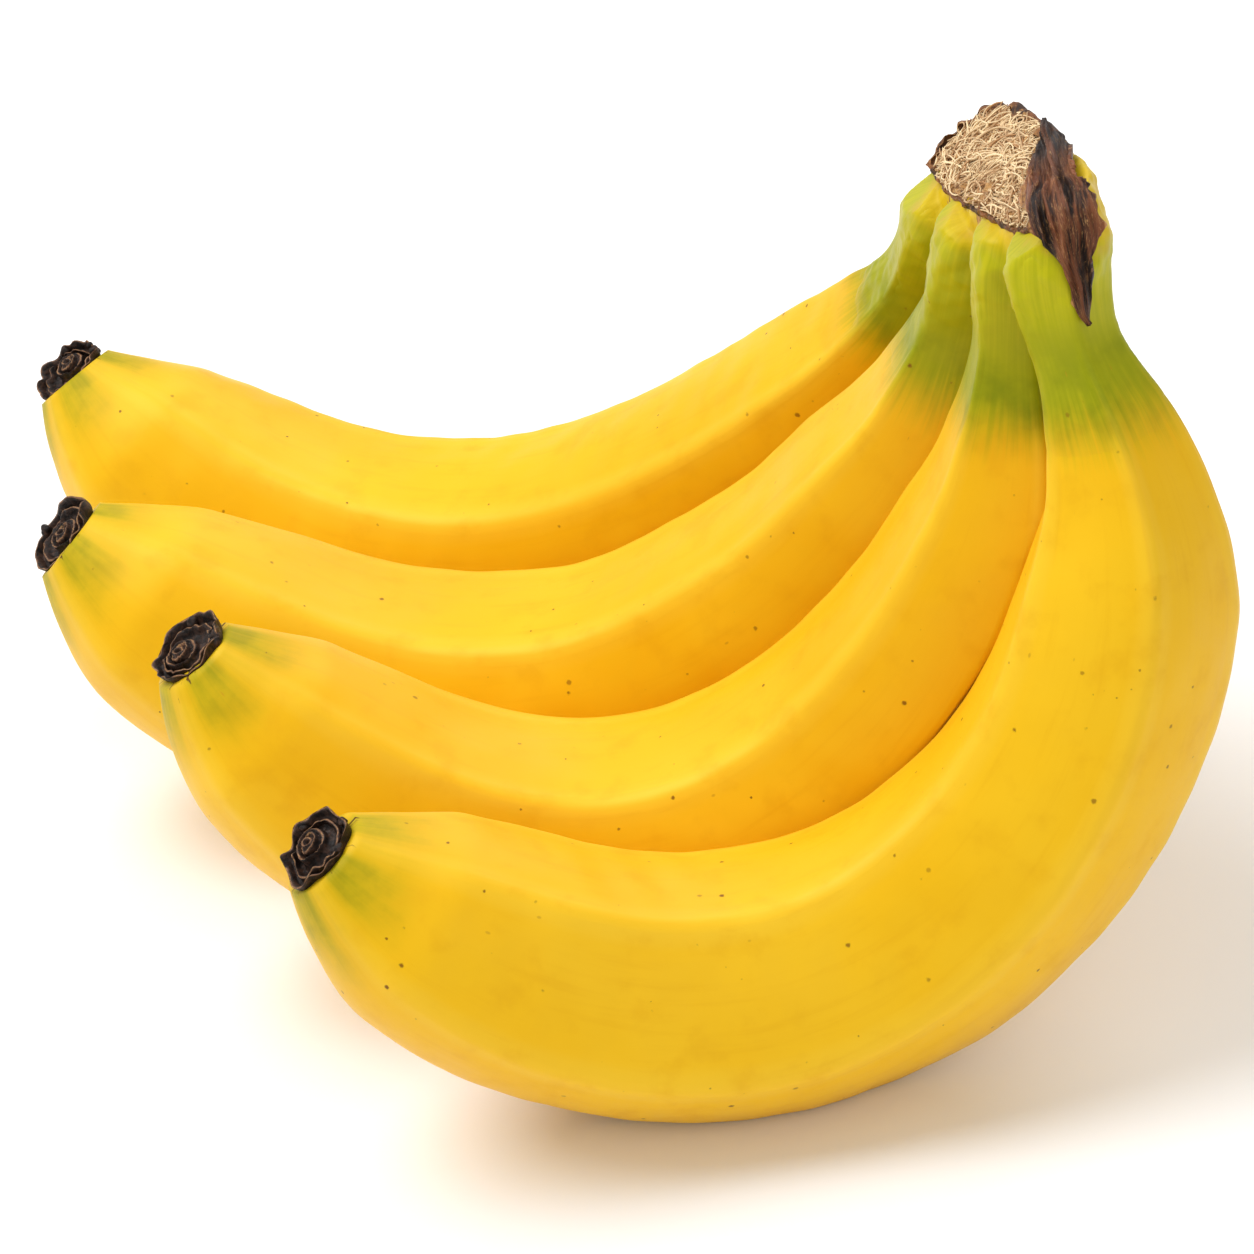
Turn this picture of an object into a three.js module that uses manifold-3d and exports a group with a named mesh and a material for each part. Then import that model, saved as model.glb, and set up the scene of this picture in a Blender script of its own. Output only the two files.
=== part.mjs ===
// A bunch of four bananas lying on its back: four curved fruits on short stalks, the crown that
// joins the stalks, the dried flap on the crown and a dark blossom end on each fruit.
// Millimetres, +Z up. X runs from the tips to the crown, Y from the front fruit to the rear one.
// The origin is on the resting surface, under the middle of the bunch's box.
import * as THREE from 'three';
import { mergeVertices } from 'three/addons/utils/BufferGeometryUtils.js';
import Module from 'manifold-3d';

const wasm = await Module();
wasm.setup();

// Driving dimensions.
const GAP = 0.3; // clearance between neighbouring pieces
const SIDES = 20; // facets round a fruit
const STEPS = 44; // rings along a fruit
const RIDGE = 0.045; // height of the five ridges as a share of the radius
const BODY_END = 1.5; // the blossom end takes the last stretch of the length
const STALK_DOME = 4; // height of the rounded top of a stalk, past its foot

// The girth every fruit shares: radius at stations along the length, from crown to tip.
const GIRTH_AT = [0, 0.022, 0.05, 0.075, 0.16, 0.27, 0.4, 0.55, 0.7, 0.82, 0.91, 0.96, 1];
const GIRTH = [6.3, 6.6, 6.1, 5.7, 9.6, 14.4, 16.3, 17.6, 18.0, 17.7, 15.3, 10.2, 5];

// Each fruit bends in an upright plane. Its heading is the direction of its axis in that plane,
// in degrees above +X, at the heading stations. Its row is the Y of the axis at the row stations.
// Its rest is the depth of the flat spot that it lies on.
const HEADING_AT = [0, 0.1, 0.25, 0.5, 0.75, 1];
const ROW_AT = [0, 0.13, 0.28, 0.5, 0.78, 1];
const FRUITS = [
  {
    name: 'banana_1', length: 194, foot: [57.1, 81.3], girth: 1.0, roll: 30, rest: 2.1,
    heading: [268, 293, 266, 224, 171, 134], row: [-40.7, -45.5, -50.3, -56.5, -63.4, -66.8],
  },
  {
    name: 'banana_2', length: 193, foot: [53.1, 75.5], girth: 0.98, roll: 40, rest: 1.3,
    heading: [265, 272, 252, 217, 165, 129], row: [-26.5, -27.5, -27.9, -26.5, -23.2, -21],
  },
  {
    name: 'banana_3', length: 192.5, foot: [49.2, 69], girth: 1.04, roll: 36, rest: 2.1,
    heading: [260, 260, 242, 213, 171, 142], row: [-12, -6.5, 0, 9.4, 21, 28.8],
  },
  {
    name: 'banana_4', length: 188, foot: [45.3, 67], girth: 0.99, roll: 40, rest: 1.4,
    heading: [260, 255, 237, 213, 172, 131], row: [2.6, 16, 30.5, 48, 67, 80.5],
  },
];

// The bunch as it lies: turned about the line that its low points lie on, crown side down.
const LAY_AXIS = new THREE.Vector3(-0.377, 0.926, 0).normalize();
const LAY_ANGLE = 7; // degrees

// The crown is a cushion along its own axis, cut off flat where it left the stem.
const CROWN_MID = new THREE.Vector3(51.6, -19.2, 78.2); // a point on the cut face
const CROWN_ALONG = new THREE.Vector3(0.251, -0.919, 0.304).normalize(); // rear to front
const CROWN_UP = new THREE.Vector3(-0.69, 0.05, 0.722).normalize(); // out of the cut face
const CROWN_START = -35;
const CROWN_END = 29;
const CROWN_ACROSS = [2.6, -2.4]; // middle of a section, outwards, at the rear and at the front
const CROWN_WIDE = [9, 6.8]; // half its width there
const CROWN_DOWN = -4.5; // middle of a section, from the cut face
const CROWN_DEEP = 8.5; // half its depth, before the cut
const CROWN_LEAN = 0.5; // how far the section leans after the stalks, per millimetre of depth

// The dried flap folds over the front of the cut face and hangs down the first stalk: rows down
// its length as [left x, y, z, right x, y, z].
const FLAP_THICK = 1.8;
const FLAP_ROWS = [
  [56.8, -13.3, 84.5, 57.8, -15.6, 85.6],
  [56, -19, 84.1, 59.1, -23.8, 87.5],
  [55.1, -25, 83.7, 60.4, -34.8, 89.4],
  [54.1, -31, 83.4, 61.7, -41, 89.2],
  [53.2, -37.5, 84.8, 62.2, -43, 88.2],
  [52.8, -43, 85.6, 62.6, -44.6, 86.8],
  [53.6, -46.6, 83.9, 63, -46, 84.4],
  [56, -48.2, 81.5, 61.7, -47.6, 81.3],
  [57.8, -48.9, 78, 61.5, -47.6, 77.4],
  [59.3, -49.1, 74, 61, -48.4, 73.8],
  [60.3, -49, 72.6, 60.8, -48.8, 72.5],
];
const FLAP_FACING = new THREE.Vector3(-0.5, -0.6, 0.6); // roughly, to tell its outer side

// Monotone cubic interpolation through stations.
function smooth(at, values, t) {
  const n = at.length;
  const slope = [];
  for (let i = 0; i < n - 1; i++) {
    slope.push((values[i + 1] - values[i]) / (at[i + 1] - at[i]));
  }
  const tangent = [];
  for (let i = 0; i < n; i++) {
    if (i === 0) {
      tangent.push(slope[0]);
    } else if (i === n - 1) {
      tangent.push(slope[n - 2]);
    } else if (slope[i - 1] * slope[i] <= 0) {
      tangent.push(0);
    } else {
      tangent.push(2 / (1 / slope[i - 1] + 1 / slope[i]));
    }
  }
  let k = 0;
  while (k < n - 2 && t > at[k + 1]) {
    k += 1;
  }
  const h = at[k + 1] - at[k];
  const u = Math.min(Math.max((t - at[k]) / h, 0), 1);
  const u2 = u * u;
  const u3 = u2 * u;
  return (2 * u3 - 3 * u2 + 1) * values[k] + (u3 - 2 * u2 + u) * h * tangent[k]
    + (3 * u2 - 2 * u3) * values[k + 1] + (u3 - u2) * h * tangent[k + 1];
}

// The axis of a fruit as points with a frame at each: along, inward (towards the hollow of the
// bend) and side (towards +Y).
function axisOf(fruit) {
  const fine = 400;
  const step = fruit.length / fine;
  const points = [];
  let x = fruit.foot[0];
  let z = fruit.foot[1];
  for (let i = 0; i <= fine; i++) {
    const t = i / fine;
    points.push(new THREE.Vector3(x, smooth(ROW_AT, fruit.row, t), z));
    const a = THREE.MathUtils.degToRad(smooth(HEADING_AT, fruit.heading, t + 0.5 / fine));
    x += Math.cos(a) * step;
    z += Math.sin(a) * step;
  }
  return (t) => {
    const f = Math.min(Math.max(t, 0), 1) * fine;
    const i = Math.min(Math.floor(f), fine - 1);
    const here = points[i].clone().lerp(points[i + 1], f - i);
    const a = points[Math.max(i - 3, 0)];
    const b = points[Math.min(i + 4, fine)];
    const along = b.clone().sub(a).normalize();
    if (t < 0) {
      here.addScaledVector(along, t * fruit.length);
    }
    const side = new THREE.Vector3(0, 1, 0);
    side.addScaledVector(along, -side.dot(along)).normalize();
    const inward = side.clone().cross(along).normalize();
    return { here, along, side, inward };
  };
}

// A closed surface through rings of points, shut with a fan at each end.
function skin(rings) {
  const n = rings[0].length;
  const position = [];
  for (const ring of rings) {
    for (const p of ring) {
      position.push(p.x, p.y, p.z);
    }
  }
  const index = [];
  for (let i = 0; i < rings.length - 1; i++) {
    for (let j = 0; j < n; j++) {
      const a = i * n + j;
      const b = i * n + (j + 1) % n;
      index.push(a, b, a + n, b, b + n, a + n);
    }
  }
  for (const [i, forward] of [[0, false], [rings.length - 1, true]]) {
    const middle = new THREE.Vector3();
    for (const p of rings[i]) {
      middle.addScaledVector(p, 1 / n);
    }
    const m = position.length / 3;
    position.push(middle.x, middle.y, middle.z);
    for (let j = 0; j < n; j++) {
      const a = i * n + j;
      const b = i * n + (j + 1) % n;
      if (forward) {
        index.push(a, b, m);
      } else {
        index.push(b, a, m);
      }
    }
  }
  const geometry = new THREE.BufferGeometry();
  geometry.setAttribute('position', new THREE.Float32BufferAttribute(position, 3));
  geometry.setIndex(index);
  return geometry;
}

function signedVolume(geometry) {
  const p = geometry.attributes.position;
  const index = geometry.index.array;
  const a = new THREE.Vector3();
  const b = new THREE.Vector3();
  const c = new THREE.Vector3();
  let sum = 0;
  for (let i = 0; i < index.length; i += 3) {
    a.fromBufferAttribute(p, index[i]);
    b.fromBufferAttribute(p, index[i + 1]);
    c.fromBufferAttribute(p, index[i + 2]);
    sum += a.dot(b.cross(c));
  }
  return sum / 6;
}

// A closed geometry as a solid for joining and cutting, its faces turned out.
function solid(geometry) {
  const bare = geometry.clone();
  bare.deleteAttribute('normal');
  bare.deleteAttribute('uv');
  const merged = mergeVertices(bare, 1e-5);
  const triangles = new Uint32Array(merged.index.array);
  if (signedVolume(merged) < 0) {
    for (let i = 0; i < triangles.length; i += 3) {
      const keep = triangles[i];
      triangles[i] = triangles[i + 1];
      triangles[i + 1] = keep;
    }
  }
  return new wasm.Manifold(new wasm.Mesh({
    numProp: 3,
    vertProperties: new Float32Array(merged.attributes.position.array),
    triVerts: triangles,
  }));
}

function geometryOf(body) {
  const mesh = body.getMesh();
  const geometry = new THREE.BufferGeometry();
  geometry.setAttribute('position', new THREE.Float32BufferAttribute(mesh.vertProperties, 3));
  geometry.setIndex(new THREE.Uint32BufferAttribute(mesh.triVerts, 1));
  geometry.computeVertexNormals();
  return geometry;
}

// Five soft ridges round a section. The angle is measured from the hollow of the bend.
function ridged(radius, angle, roll, share) {
  const five = Math.cos(5 * (angle - THREE.MathUtils.degToRad(roll)));
  return radius * (1 + share * (five + 0.25 * five * five));
}

function fruitShape(fruit, grow) {
  const axis = axisOf(fruit);
  const rings = [];
  const end = 1 - BODY_END / fruit.length;
  const stations = [[75, 0], [50, 0], [25, 0]];
  for (let i = 0; i <= STEPS; i++) {
    stations.push([0, end * (i / STEPS)]);
  }
  for (const [dome, body] of stations) {
    const turn = THREE.MathUtils.degToRad(dome);
    const t = body - Math.sin(turn) * (STALK_DOME + grow) / fruit.length;
    const { here, side, inward } = axis(t);
    const radius = (fruit.girth * smooth(GIRTH_AT, GIRTH, body) + grow) * Math.cos(turn);
    const share = RIDGE * Math.min(1, Math.max(0.3, (t - 0.08) / 0.2), Math.max(0.35, (1 - t) / 0.15));
    const ring = [];
    for (let j = 0; j < SIDES; j++) {
      const angle = (j / SIDES) * 2 * Math.PI;
      const r = ridged(radius, angle, fruit.roll, share);
      const p = here.clone();
      p.addScaledVector(inward, r * Math.cos(angle));
      p.addScaledVector(side, -r * Math.sin(angle));
      ring.push(p);
    }
    rings.push(ring);
  }
  return skin(rings);
}

// The bunch's own frame turned to lie on the table, and raised.
const LAY = new THREE.Quaternion();
LAY.setFromAxisAngle(LAY_AXIS, THREE.MathUtils.degToRad(LAY_ANGLE));

function laid(geometry, lift) {
  geometry.applyQuaternion(LAY);
  geometry.translate(0, 0, lift);
  return geometry;
}

function laidPoint(point, lift) {
  return point.clone().applyQuaternion(LAY).add(new THREE.Vector3(0, 0, lift));
}

// The crown's whole cushion, grown by a clearance.
function crownShape(grow) {
  const outward = CROWN_ALONG.clone().cross(CROWN_UP).normalize();
  if (outward.x < 0) {
    outward.negate();
  }
  const rings = [];
  const steps = 18;
  const n = 24;
  for (let i = 0; i <= steps; i++) {
    const v = -1 + 2 * (i / steps);
    const w = Math.sin(v * Math.PI / 2);
    const along = (CROWN_START + CROWN_END) / 2 + w * ((CROWN_END - CROWN_START) / 2 + grow);
    const fat = Math.max(0.02, Math.pow(1 - Math.pow(Math.abs(w), 4), 0.4));
    const middle = THREE.MathUtils.lerp(CROWN_ACROSS[0], CROWN_ACROSS[1], (w + 1) / 2);
    const wide = THREE.MathUtils.lerp(CROWN_WIDE[0], CROWN_WIDE[1], (w + 1) / 2);
    const ring = [];
    for (let j = 0; j < n; j++) {
      const a = (j / n) * 2 * Math.PI;
      const c = Math.cos(a);
      const s = Math.sin(a);
      const e = 0.8;
      const up = Math.sign(s) * Math.pow(Math.abs(s), e) * (CROWN_DEEP * fat + grow);
      const wing = Math.sign(c) * Math.pow(Math.abs(c), e) * (wide * fat + grow);
      const across = wing + CROWN_LEAN * up;
      const p = CROWN_MID.clone().addScaledVector(CROWN_ALONG, along);
      p.addScaledVector(outward, middle + across);
      p.addScaledVector(CROWN_UP, CROWN_DOWN + up);
      ring.push(p);
    }
    rings.push(ring);
  }
  return skin(rings);
}

// A box far larger than the bunch with its face through a point, facing down the given normal.
function halfSpace(point, normal) {
  const size = 400;
  const box = new THREE.BoxGeometry(size, size, size);
  box.translate(0, 0, size / 2);
  const turn = new THREE.Quaternion().setFromUnitVectors(new THREE.Vector3(0, 0, 1), normal);
  box.applyQuaternion(turn);
  box.translate(point.x, point.y, point.z);
  return solid(box);
}

function flapShape() {
  const half = 6;
  const rings = [];
  const lefts = FLAP_ROWS.map((row) => new THREE.Vector3(row[0], row[1], row[2]));
  const rights = FLAP_ROWS.map((row) => new THREE.Vector3(row[3], row[4], row[5]));
  const last = FLAP_ROWS.length - 1;
  for (let i = 0; i <= last; i++) {
    const before = Math.max(i - 1, 0);
    const after = Math.min(i + 1, last);
    const down = lefts[after].clone().add(rights[after]).sub(lefts[before]).sub(rights[before]);
    const out = rights[i].clone().sub(lefts[i]).cross(down).normalize();
    if (out.dot(FLAP_FACING) < 0) {
      out.negate();
    }
    const thick = FLAP_THICK * Math.min(1, 0.35 + 0.65 * Math.min(i, last - i) / 2);
    const ring = [];
    for (let j = 0; j <= half; j++) {
      const u = j / half;
      const bulge = 4 * u * (1 - u);
      const p = lefts[i].clone().lerp(rights[i], u);
      ring.push(p.addScaledVector(out, 0.8 * bulge + thick * (0.5 + 0.5 * bulge)));
    }
    for (let j = half; j >= 0; j--) {
      ring.push(lefts[i].clone().lerp(rights[i], j / half).addScaledVector(out, -0.4));
    }
    rings.push(ring);
  }
  return skin(rings);
}

// The dark end left by the blossom: a low disc with a raised rim and a pit.
function blossomEnd(radius) {
  const profile = [
    [0, 0], [radius, 0], [radius + 0.45, 0.7], [radius + 0.3, 1.7], [radius - 0.6, 2.5],
    [radius - 1.6, 2.3], [radius - 2.3, 1.4], [1.2, 1.3], [0, 0.9],
  ];
  return new THREE.LatheGeometry(profile.map(([r, h]) => new THREE.Vector2(r, h)), 24);
}

function material(color, roughness) {
  return new THREE.MeshStandardMaterial({ color, roughness, metalness: 0 });
}

const peel = material(0xf2c81e, 0.5);
const cushion = material(0xc9a862, 0.85);
const dried = material(0x4a2c1c, 0.8);
const dark = material(0x2a1a12, 0.75);

const bunch = new THREE.Group();

function place(name, geometry, look) {
  const mesh = new THREE.Mesh(geometry, look);
  mesh.name = name;
  bunch.add(mesh);
  return mesh;
}

// Every fruit sinks into the table by its rest, which is then cut off flat. The crown and the flap
// keep the middle height.
const lifts = FRUITS.map((fruit) => {
  const shape = laid(fruitShape(fruit, 0), 0);
  shape.computeBoundingBox();
  return -fruit.rest - shape.boundingBox.min.z;
});
const crownLift = (lifts[0] + lifts[1] + lifts[2] + lifts[3]) / 4;
const whole = FRUITS.map((fruit, i) => solid(laid(fruitShape(fruit, 0), lifts[i])));
const grown = FRUITS.map((fruit, i) => solid(laid(fruitShape(fruit, GAP), lifts[i])));
const crownWhole = solid(laid(crownShape(0), crownLift));
const crownGrown = solid(laid(crownShape(GAP), crownLift));

const table = halfSpace(new THREE.Vector3(0, 0, 0), new THREE.Vector3(0, 0, -1));
const cutFace = halfSpace(laidPoint(CROWN_MID, crownLift), CROWN_UP.clone().applyQuaternion(LAY));

// Neighbouring fruits press flat against each other: each gives way to the one in front of it.
FRUITS.forEach((fruit, i) => {
  let body = whole[i].subtract(table).subtract(crownGrown);
  if (i > 0) {
    body = body.subtract(grown[i - 1]);
  }
  place(fruit.name, geometryOf(body), peel);
});
place('crown', geometryOf(crownWhole.subtract(cutFace)), cushion);

const above = laidPoint(CROWN_MID.clone().addScaledVector(CROWN_UP, GAP), crownLift);
const clearOfCrown = crownGrown.subtract(halfSpace(above, CROWN_UP.clone().applyQuaternion(LAY)));
const flap = solid(laid(flapShape(), crownLift)).subtract(clearOfCrown).subtract(grown[0]);
place('dried_flap', geometryOf(flap), dried);

FRUITS.forEach((fruit, i) => {
  const { here, along } = axisOf(fruit)(1 - (BODY_END - GAP) / fruit.length);
  const geometry = blossomEnd(GIRTH[GIRTH.length - 1] * fruit.girth + 0.3);
  geometry.rotateX(Math.PI / 2);
  const mesh = place(`blossom_end_${i + 1}`, geometryOf(solid(geometry)), dark);
  const facing = along.clone().applyQuaternion(LAY);
  mesh.quaternion.setFromUnitVectors(new THREE.Vector3(0, 0, 1), facing);
  mesh.position.copy(laidPoint(here, lifts[i]));
});

// The origin goes under the middle of the bunch's box.
bunch.updateMatrixWorld(true);
const middle = new THREE.Box3().setFromObject(bunch, true).getCenter(new THREE.Vector3());
bunch.position.set(-middle.x, -middle.y, 0);

export default bunch;
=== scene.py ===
# %% [markdown]
# # A bunch of four bananas
# Four curved fruits lie on their backs, joined by short green stalks to one crown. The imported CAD
# model gives the frame: its sizes, its places and the nodes that the fine pieces stand for. This
# lesson rebuilds every surface of it at a finer scale, and ends with the camera and the light.

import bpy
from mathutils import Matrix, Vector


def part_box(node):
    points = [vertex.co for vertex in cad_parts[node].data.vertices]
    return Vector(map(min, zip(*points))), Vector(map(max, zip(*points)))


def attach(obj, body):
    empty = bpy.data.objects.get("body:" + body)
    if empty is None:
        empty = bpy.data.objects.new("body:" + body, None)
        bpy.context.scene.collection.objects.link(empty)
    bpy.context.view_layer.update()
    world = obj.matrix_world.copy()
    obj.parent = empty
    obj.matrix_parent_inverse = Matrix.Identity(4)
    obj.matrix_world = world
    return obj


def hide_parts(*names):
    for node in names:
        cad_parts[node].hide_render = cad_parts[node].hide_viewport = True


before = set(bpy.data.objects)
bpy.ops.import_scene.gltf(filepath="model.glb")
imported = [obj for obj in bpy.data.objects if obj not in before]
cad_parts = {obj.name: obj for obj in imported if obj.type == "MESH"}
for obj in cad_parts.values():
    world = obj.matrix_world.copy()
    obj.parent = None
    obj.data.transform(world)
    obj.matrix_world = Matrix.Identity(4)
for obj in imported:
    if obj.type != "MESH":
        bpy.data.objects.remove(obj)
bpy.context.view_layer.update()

# %% Tools and units
import math

import bpy
import numpy as np
from mathutils import Matrix, Quaternion, Vector

MM = 0.001
scene = bpy.context.scene
draw = np.random.default_rng(7)

# %% [markdown]
# ## The bananas' own axes
# A banana is easiest to think of as a straight, five-sided spindle that was bent afterwards. Its
# axis is drawn from a heading at a few stations, its girth from a radius at a few more. These are
# the CAD model's own values, but for sharper ridges, a slightly wider tip and a lean of each tip, so
# the fine skin lies close to the solids.

# %% Driving values of the fruits, in millimetres and degrees
# Stations are shares of the length, from the stalk to the tip.
GIRTH_AT = [0, 0.022, 0.05, 0.075, 0.16, 0.27, 0.4, 0.55, 0.7, 0.82, 0.91, 0.96, 1]
GIRTH = [6.3, 6.6, 6.1, 5.7, 9.6, 14.4, 16.3, 17.6, 18.0, 17.7, 15.4, 10.8, 5.6]
# Waves round the section: the first raises the five ridges, the others flatten the sides.
RIDGE = 0.05
FACETS = [1, 0.3, 0.15, 0.09, 0.06, 0.04]
FACETED_AT, FACETED = [0, 0.06, 0.15, 0.3, 0.75, 0.9, 1], [0.3, 1.5, 1.6, 1.1, 1, 0.55, 0.3]
BODY_END = 1.5  # the peel ends this far before its axis, under the blossom end
STALK_DOME = 1.2
LEAN_FROM, LEAN_OVER = 0.72, 0.28  # shares of the length
TOUCHING = 0.15  # between two fruits that lean on each other
# Of each fruit: foot is where its axis starts, rest how deep it is pressed onto the table, and
# tip_lean how far its tip stands from the solid's.
HEADING_AT = [0, 0.1, 0.25, 0.5, 0.75, 1]
ROW_AT = [0, 0.13, 0.28, 0.5, 0.78, 1]
FRUITS = [
    dict(length=194, foot=(57.1, 81.3), girth=1.0, roll=30, rest=2.1, tip_lean=(-1.4, 1.0, 1.9),
         heading=[268, 293, 266, 224, 171, 134], row=[-40.7, -45.5, -50.3, -56.5, -63.4, -66.8]),
    dict(length=193, foot=(53.1, 75.5), girth=0.98, roll=40, rest=1.3, tip_lean=(1.7, 1.0, 1.5),
         heading=[265, 272, 252, 217, 165, 129], row=[-26.5, -27.5, -27.9, -26.5, -23.2, -21]),
    dict(length=192.5, foot=(49.2, 69), girth=1.04, roll=36, rest=2.1, tip_lean=(1.2, 1.0, 1.5),
         heading=[260, 260, 242, 213, 171, 142], row=[-12, -6.5, 0, 9.4, 21, 28.8]),
    dict(length=188, foot=(45.3, 67), girth=0.99, roll=40, rest=1.4, tip_lean=(1.1, -0.1, -0.1),
         heading=[260, 255, 237, 213, 172, 131], row=[2.6, 16, 30.5, 48, 67, 80.5]),
]
LAY = np.array(Quaternion(Vector((-0.377, 0.926, 0)), math.radians(7)).to_matrix())


# %% Smooth curves through stations
def curve(at, values):
    """A monotone cubic through stations, as a function that reads whole arrays at once."""
    at, values = np.array(at, float), np.array(values, float)
    slope = np.diff(values) / np.diff(at)
    both = slope[:-1] * slope[1:]
    turn = np.divide(2 * both, slope[:-1] + slope[1:], out=np.zeros_like(both), where=both > 0)
    tangent = np.concatenate([slope[:1], turn, slope[-1:]])

    def read(t):
        k = np.clip(np.searchsorted(at, t) - 1, 0, len(at) - 2)
        step = at[k + 1] - at[k]
        u = np.clip((t - at[k]) / step, 0, 1)
        return ((2 * u**3 - 3 * u**2 + 1) * values[k] + (u**3 - 2 * u**2 + u) * step * tangent[k]
                + (3 * u**2 - 2 * u**3) * values[k + 1] + (u**3 - u**2) * step * tangent[k + 1])

    return read


def rise(value, start, over):
    """0 up to start, then straight up to 1."""
    return np.clip((value - start) / over, 0, 1)


def fall(value, end, over):
    """Straight down from 1 to 0 at end."""
    return np.clip((end - value) / over, 0, 1)


def hump(value, middle, width):
    return np.exp(-((value - middle) / width) ** 2)


def unit(v):
    return v / np.linalg.norm(v, axis=-1, keepdims=True)


# %% One fruit's axis and skin
class Fruit:
    """The bent spindle of one banana, in millimetres. skin() gives points on it."""

    fine = 400  # steps along the axis

    def __init__(self, length, foot, girth, roll, rest, tip_lean, heading, row):
        self.length, self.roll = length, math.radians(roll)
        self.radius = lambda t: girth * curve(GIRTH_AT, GIRTH)(np.clip(t, 0, 1))
        t = np.arange(self.fine + 1) / self.fine
        a = np.radians(curve(HEADING_AT, heading)(t + 0.5 / self.fine))[:-1]
        step = length / self.fine
        x = foot[0] + np.concatenate([[0], np.cumsum(np.cos(a))]) * step
        z = foot[1] + np.concatenate([[0], np.cumsum(np.sin(a))]) * step
        points = np.stack([x, curve(ROW_AT, row)(t), z], axis=1)
        i = np.arange(self.fine + 1)
        along = unit(points[np.minimum(i + 4, self.fine)] - points[np.maximum(i - 3, 0)])
        side = np.array([0.0, 1.0, 0.0]) - along * along[:, 1:2]
        lean = rise(t, LEAN_FROM, LEAN_OVER)[:, None] ** 2
        self.points = points @ LAY.T + lean * np.array(tip_lean)
        self.along = along @ LAY.T
        self.side = unit(side) @ LAY.T
        self.inward = np.cross(self.side, self.along)
        lowest = self.skin(*np.meshgrid(t, np.linspace(0, 6.28, 60)))[..., 2].min()
        self.points[:, 2] += -rest - lowest

    def at(self, values, t):
        """Reads an array of values along the axis at shares t of the length."""
        f = np.clip(t, 0, 1) * self.fine
        i = np.minimum(f.astype(int), self.fine - 1)
        share = (f - i)[..., None]
        return values[i] * (1 - share) + values[i + 1] * share

    def skin(self, t, angle, grow=0.0, dome=0.0, shrink=1.0):
        """Points at shares t of the length. dome turns, in radians, round the stalk's top, and
        shrink closes the tip."""
        t, angle = np.asarray(t, float), np.asarray(angle, float)
        share = RIDGE * curve(FACETED_AT, FACETED)(t)
        five = sum(k * np.cos(5 * (n + 1) * (angle - self.roll)) for n, k in enumerate(FACETS))
        r = (self.radius(t) + grow) * np.cos(dome) * shrink * (1 + share * five)
        past = (np.sin(dome) * STALK_DOME * np.ones_like(t))[..., None]
        return (self.at(self.points, t) - self.at(self.along, t) * past
                + self.at(self.inward, t) * (r * np.cos(angle))[..., None]
                - self.at(self.side, t) * (r * np.sin(angle))[..., None])


fruits = [Fruit(**values) for values in FRUITS]

# %% The shift that centres the bunch, read from the first fruit's box
ring, turn = np.meshgrid(np.linspace(0, 1 - BODY_END / fruits[0].length, 45),
                         np.arange(20) / 20 * 2 * math.pi)
raw = fruits[0].skin(ring, turn).reshape(-1, 3)
box_low, box_high = (np.array(corner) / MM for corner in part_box("banana_1"))
shift = np.array([box_high[0] - raw[:, 0].max(), box_low[1] - raw[:, 1].min(), 0])
print("the bunch is shifted by", shift.round(2), "mm")

# %% [markdown]
# ## From a sphere to a fruit
# A UV sphere already has what a fruit needs: rings to set along the axis, meridians to run down its
# sides, and a closed pole at each end. So each piece that is round about a line starts as a sphere,
# and its rings are then moved onto the real form by a formula, which keeps the surface closed.

# %% Helpers for shaping primitives
def deselect():
    if bpy.context.mode != "OBJECT":
        bpy.ops.object.mode_set(mode="OBJECT")
    bpy.ops.object.select_all(action="DESELECT")


def select(*objects):
    deselect()
    for obj in objects:
        obj.select_set(True)
    bpy.context.view_layer.objects.active = objects[0]


def vertices_of(obj, what="co"):
    values = np.empty(3 * len(obj.data.vertices))
    obj.data.vertices.foreach_get(what, values)
    return values.reshape(-1, 3)


def points_of(obj):
    """The mesh's points in the laid frame, in millimetres, before the bunch is centred."""
    return vertices_of(obj) / MM - shift


def move_points(obj, points):
    obj.data.vertices.foreach_set("co", ((points + shift) * MM).ravel())
    obj.data.update()


def turn_out(obj):
    select(obj)
    bpy.ops.object.mode_set(mode="EDIT")
    bpy.ops.mesh.select_all(action="SELECT")
    bpy.ops.mesh.normals_make_consistent(inside=False)
    bpy.ops.object.mode_set(mode="OBJECT")
    bpy.ops.object.shade_smooth()


def shaped_sphere(name, segments, rings, place):
    """A sphere moved onto another form. place(u, angle) gives the points of all its vertices at
    once, with u from 0 at one pole to 1 at the other."""
    deselect()
    bpy.ops.mesh.primitive_uv_sphere_add(segments=segments, ring_count=rings, radius=1)
    obj = bpy.context.object
    obj.name = obj.data.name = name
    x, y, z = vertices_of(obj).T
    u = np.round(np.arccos(np.clip(-z, -1, 1)) / math.pi * rings) / rings
    move_points(obj, place(u, np.arctan2(y, x)))
    turn_out(obj)
    return obj


def apply_modifier(obj, kind, **settings):
    select(obj)
    modifier = obj.modifiers.new(kind.title(), kind)
    for key, value in settings.items():
        setattr(modifier, key, value)
    bpy.ops.object.modifier_apply(modifier=modifier.name)


def wobble(points, size, seed):
    """Smooth lumps with a spread of about 1, for points in millimetres and lumps of that size."""
    lumps = np.random.default_rng(seed)
    total = np.zeros(len(points))
    for _ in range(8):
        wave = unit(lumps.normal(size=3)) * 2 * math.pi / size * lumps.uniform(0.6, 1.5)
        total += np.sin(points @ wave + lumps.uniform(0, 2 * math.pi))
    return total / 2


def report(obj):
    triangles = sum(len(p.vertices) - 2 for p in obj.data.polygons)
    size = np.ptp(points_of(obj), axis=0)
    print(f"{obj.name}: {triangles} triangles, {size[0]:.0f} x {size[1]:.0f} x {size[2]:.0f} mm")


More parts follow.
